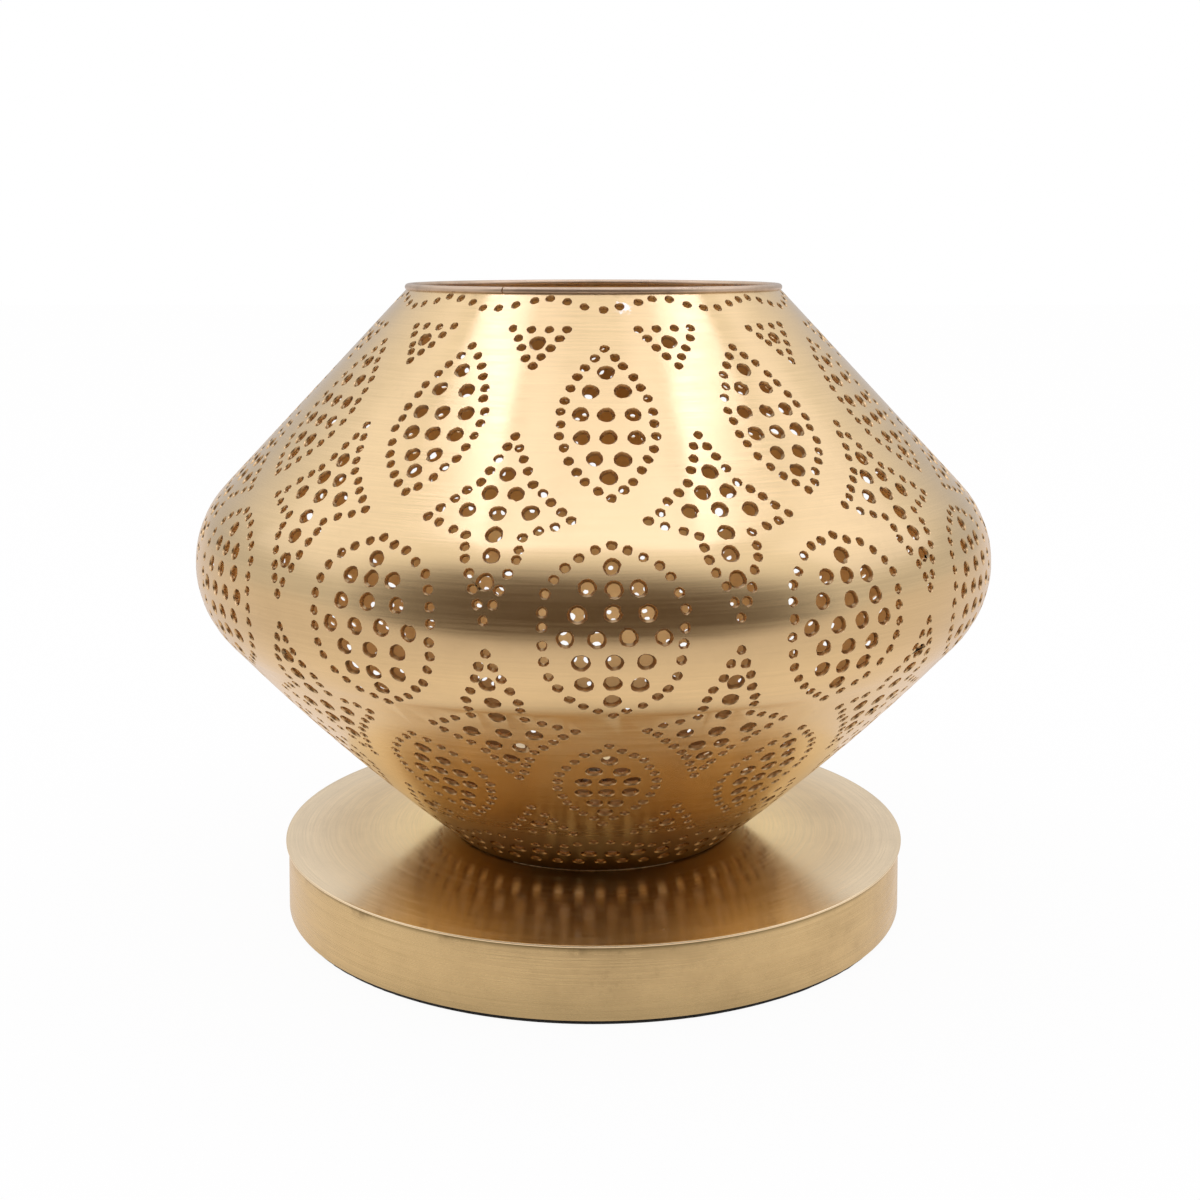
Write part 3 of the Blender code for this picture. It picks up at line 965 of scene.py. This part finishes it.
# The screw tree sets one screw on each place, turned as it happened to be driven home
driving, driving_titles, given = new_tree("driven_screws", {
    "Places": "Geometry", "Screw": "Object", "Seed": "Int", "Finish": "Material",
}, "Screws")
one_screw = add_node(driving, "GeometryNodeObjectInfo", {"Object": given["Screw"]}).outputs["Geometry"]
turn = add_node(driving, "FunctionNodeRandomValue", {
    3: 2 * math.pi, "Seed": given["Seed"],
}, data_type="FLOAT")
twist = add_node(driving, "FunctionNodeAxisAngleToRotation", {"Angle": turn.outputs[1]})
driven = add_node(driving, "GeometryNodeInstanceOnPoints", {
    "Points": given["Places"], "Instance": one_screw, "Rotation": twist.outputs[0],
})
end_tree(driving, driven.outputs[0], given["Finish"])

screw_spots = [(*((low + high) / 2).xy, head_seat) for low, high in map(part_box, SCREW_NODES)]
places = new_object("screw_places", new_mesh("screw_places", screw_spots))
screws_mesh = grown_mesh(places, driving, driving_titles, {
    "Screw": screw_blank, "Seed": 3, "Finish": zinc_finish,
})
bpy.data.objects.remove(places)
bpy.data.objects.remove(screw_blank)
screws = add_piece("floor_screws", screws_mesh, zinc_finish)
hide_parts(*SCREW_NODES)


# Rim wire
# A ring of round brass wire soldered on the raw edge of the mouth, so that it doesn't cut the hand.
# Its ends butt at the front left, and it has gone brown from the torch.

WIRE_STEPS, WIRE_SWAY, WIRE_WORN = 220, 0.000012, 0.98
JOINT_ANGLE, JOINT_GAP = math.radians(-26), math.radians(0.45)
wire_low, wire_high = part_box("rim_wire")
wire_radius = (wire_high.z - wire_low.z) / 2
wire_height = wire_high.z - 1.2 * wire_radius
ring_radius = wire_high.x - 2.05 * wire_radius
bending = random.Random(8)
waves = [(bending.randint(2, 9), bending.uniform(0, 6.28), bending.uniform(0.3, 1.0)) for _ in range(6)]
wire_rows = []
for i in range(WIRE_STEPS + 1):
    turn = JOINT_ANGLE + JOINT_GAP / 2 + (2 * math.pi - JOINT_GAP) * i / WIRE_STEPS
    sway = WIRE_SWAY * sum(size * math.sin(n * turn + phase) for n, phase, size in waves) / 3
    row = []
    for t in np.linspace(0, 2 * math.pi, 15)[:-1]:
        reach = ring_radius + WIRE_WORN * wire_radius * math.cos(t) + sway
        height = wire_height - WIRE_WORN * wire_radius * math.sin(t) + 0.4 * sway
        row.append((reach * math.sin(turn), -reach * math.cos(turn), height))
    wire_rows.append(row)
wire_mesh = lofted_mesh("rim_wire", wire_rows)
soften(wire_mesh, 50)
wire_finish = brushed_brass(
    "torched_wire", (0.68, 0.53, 0.385), (0.19, 0.14, 0.10), roughness=0.28, cover=0.52, lines_shown=0.16,
    line_depth=0.000003, dent_depth=0.00005,
)
wire = add_piece("rim_wire_ring", wire_mesh, wire_finish)
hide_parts("rim_wire")


# Table, studio and camera
# A white table in a white room, with soft boxes over the holder and painted shade behind the camera.
# The camera stands where the photograph was taken from.

def bare_finish(name):
    """A material with nothing in its node tree but its Object coordinates."""
    material = bpy.data.materials.new(name)
    material.use_nodes = True
    tree = material.node_tree
    tree.nodes.clear()
    return material, tree, add_node(tree, "ShaderNodeTexCoord").outputs["Object"]


def show_mix(tree, share, first, second):
    """Two shaders on the surface, with the given share of the second."""
    mixed = add_node(tree, "ShaderNodeMixShader", {"Fac": share, 1: first.outputs[0], 2: second.outputs[0]})
    add_node(tree, "ShaderNodeOutputMaterial", {"Surface": mixed.outputs[0]})


TABLE_HALF, TABLE_FRONT, TABLE_BACK, TABLE_TOP = 2.5, -0.30, 4.0, -0.00005
table_mesh = new_mesh("table", [
    (-TABLE_HALF, TABLE_FRONT, TABLE_TOP), (TABLE_HALF, TABLE_FRONT, TABLE_TOP),
    (TABLE_HALF, TABLE_BACK, TABLE_TOP), (-TABLE_HALF, TABLE_BACK, TABLE_TOP),
], [(0, 1, 2, 3)])
table = new_object("table", table_mesh)
table_finish, tree, place = bare_finish("white_table")
spot = sides_of(tree, place)
away = length_of(tree, spot["X"], spot["Y"])
# Painted light and shadow: in reflections the table glows brighter near the holder, with a painted shadow
# round its base
painted_pool = blend(tree, remap(tree, away, 0.10, 0.22, 0.0, 1.0), (0.95, 0.83, 0.75), (0.73, 0.635, 0.585))
close = length_of(tree, calculate(tree, "MULTIPLY", spot["X"], 1.35), spot["Y"])
pool_and_painted_shadow = blend(tree, remap(tree, close, 0.069, 0.096, 0.0, 1.0), (0.60, 0.53, 0.47), painted_pool)
seen = add_node(tree, "ShaderNodeLightPath").outputs
paint = add_node(tree, "ShaderNodeBsdfDiffuse", {"Color": (0.92, 0.92, 0.92)})
glow = add_node(tree, "ShaderNodeEmission", {
    "Color": blend(tree, seen["Is Camera Ray"], pool_and_painted_shadow, (1.0, 1.0, 1.0)),
})
mirrored = calculate(tree, "MAXIMUM", seen["Is Glossy Ray"], seen["Is Transmission Ray"])
glowing = calculate(tree, "MAXIMUM", calculate(tree, "MULTIPLY", seen["Is Camera Ray"], 0.95),
                    calculate(tree, "MULTIPLY", mirrored, 0.78))
show_mix(tree, glowing, paint, glow)
table_mesh.materials.append(table_finish)

# Painted shade: a dark sheet behind the camera, seen only in reflections, stands for the unlit side of the
# room
SHADE_SHEET_HALF, SHADE_SHEET_PLACE, SHADE_SHEET_LOW, SHADE_SHEET_HIGH = 4.6, -1.3, -1.2, 2.6
shade_sheet_mesh = new_mesh("dark_cloth", [
    (-SHADE_SHEET_HALF, SHADE_SHEET_PLACE, SHADE_SHEET_LOW), (SHADE_SHEET_HALF, SHADE_SHEET_PLACE, SHADE_SHEET_LOW),
    (SHADE_SHEET_HALF, SHADE_SHEET_PLACE, SHADE_SHEET_HIGH), (-SHADE_SHEET_HALF, SHADE_SHEET_PLACE, SHADE_SHEET_HIGH),
], [(3, 2, 1, 0)])
shade_sheet = new_object("dark_cloth", shade_sheet_mesh)
shade_sheet.visible_camera = shade_sheet.visible_diffuse = shade_sheet.visible_shadow = False
shade_sheet_finish, tree, place = bare_finish("dark_cloth")
spot = sides_of(tree, place)
fade_x = remap(tree, calculate(tree, "ABSOLUTE", spot["X"]), 0.2, 4.4, 1.0, 0.0)
sagging = calculate(tree, "MULTIPLY_ADD", spot["X"], 0.25, spot["Z"])
fade_z = remap(tree, sagging, 0.62, 2.1, 1.0, 0.0)
clear = add_node(tree, "ShaderNodeBsdfTransparent")
dark = add_node(tree, "ShaderNodeBsdfDiffuse", {"Color": (0.138, 0.097, 0.064)})
show_mix(tree, calculate(tree, "MULTIPLY", fade_x, fade_z), clear, dark)
shade_sheet_mesh.materials.append(shade_sheet_finish)
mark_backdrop(table, shade_sheet)


def soft_box(name, place, width, height, power, swing=0.0):
    """A rectangular lamp that faces the middle of the shade, swung round its own axis by degrees."""
    lamp = bpy.data.lights.new(name, "AREA")
    lamp.shape = "RECTANGLE"
    lamp.size, lamp.size_y, lamp.energy = width, height, power
    lamp.color = (0.68, 0.69, 1.0)
    box = new_object(name, lamp)
    box.location = place
    aim = (Vector((0.0, 0.0, 0.08)) - Vector(place)).to_track_quat("-Z", "Y")
    box.rotation_euler = (aim @ Quaternion((0.0, 0.0, 1.0), math.radians(swing))).to_euler()


soft_box("left_strip", (-0.53, 0.0, 1.17), 0.50, 0.07, 0.48, swing=27)
soft_box("right_strip", (0.53, 0.0, 1.17), 0.50, 0.07, 0.48, swing=-27)
soft_box("left_skirt", (-0.34, -0.03, 1.17), 0.50, 0.20, 0.115, swing=27)
soft_box("right_skirt", (0.34, -0.03, 1.17), 0.50, 0.20, 0.115, swing=-27)
soft_box("front_strip", (0.0, -0.37, 1.13), 0.95, 0.20, 0.62)
soft_box("left_wash", (-0.92, 0.05, 0.72), 0.8, 0.7, 0.30)
soft_box("right_wash", (0.92, 0.05, 0.72), 0.8, 0.7, 0.52)

room = bpy.data.worlds.new("white_room")
room.use_nodes = True
tree = room.node_tree
way = sides_of(tree, add_node(tree, "ShaderNodeTexCoord").outputs["Generated"])
upper = remap(tree, way["Z"], 0.10, 0.72, 0.60, 1.04)
sideways = remap(tree, calculate(tree, "ABSOLUTE", way["X"]), 0.6, 1.0, 0.0, 0.07)
walls = blend(tree, 1.0, (1.0, 0.96, 0.97), calculate(tree, "ADD", upper, sideways), how="MULTIPLY")
seen = add_node(tree, "ShaderNodeLightPath").outputs
feed(tree, tree.nodes["Background"], {
    "Color": blend(tree, seen["Is Camera Ray"], walls, (1.0, 1.0, 1.0)),
})
bpy.context.scene.world = room
bpy.context.scene.view_settings.view_transform = "Standard"

lens = bpy.data.cameras.new("camera")
lens.lens, lens.sensor_width, lens.sensor_fit = 49.89, 36.0, "HORIZONTAL"
lens.shift_x, lens.shift_y = 0.0054, -0.2088
lens.clip_start = 0.01
camera = new_object("camera", lens)
camera.location = (0.0, -0.3778, 0.1482)
camera.rotation_euler = (math.radians(90 - 3.487), 0.0, 0.0)
bpy.context.scene.camera = camera

low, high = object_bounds()
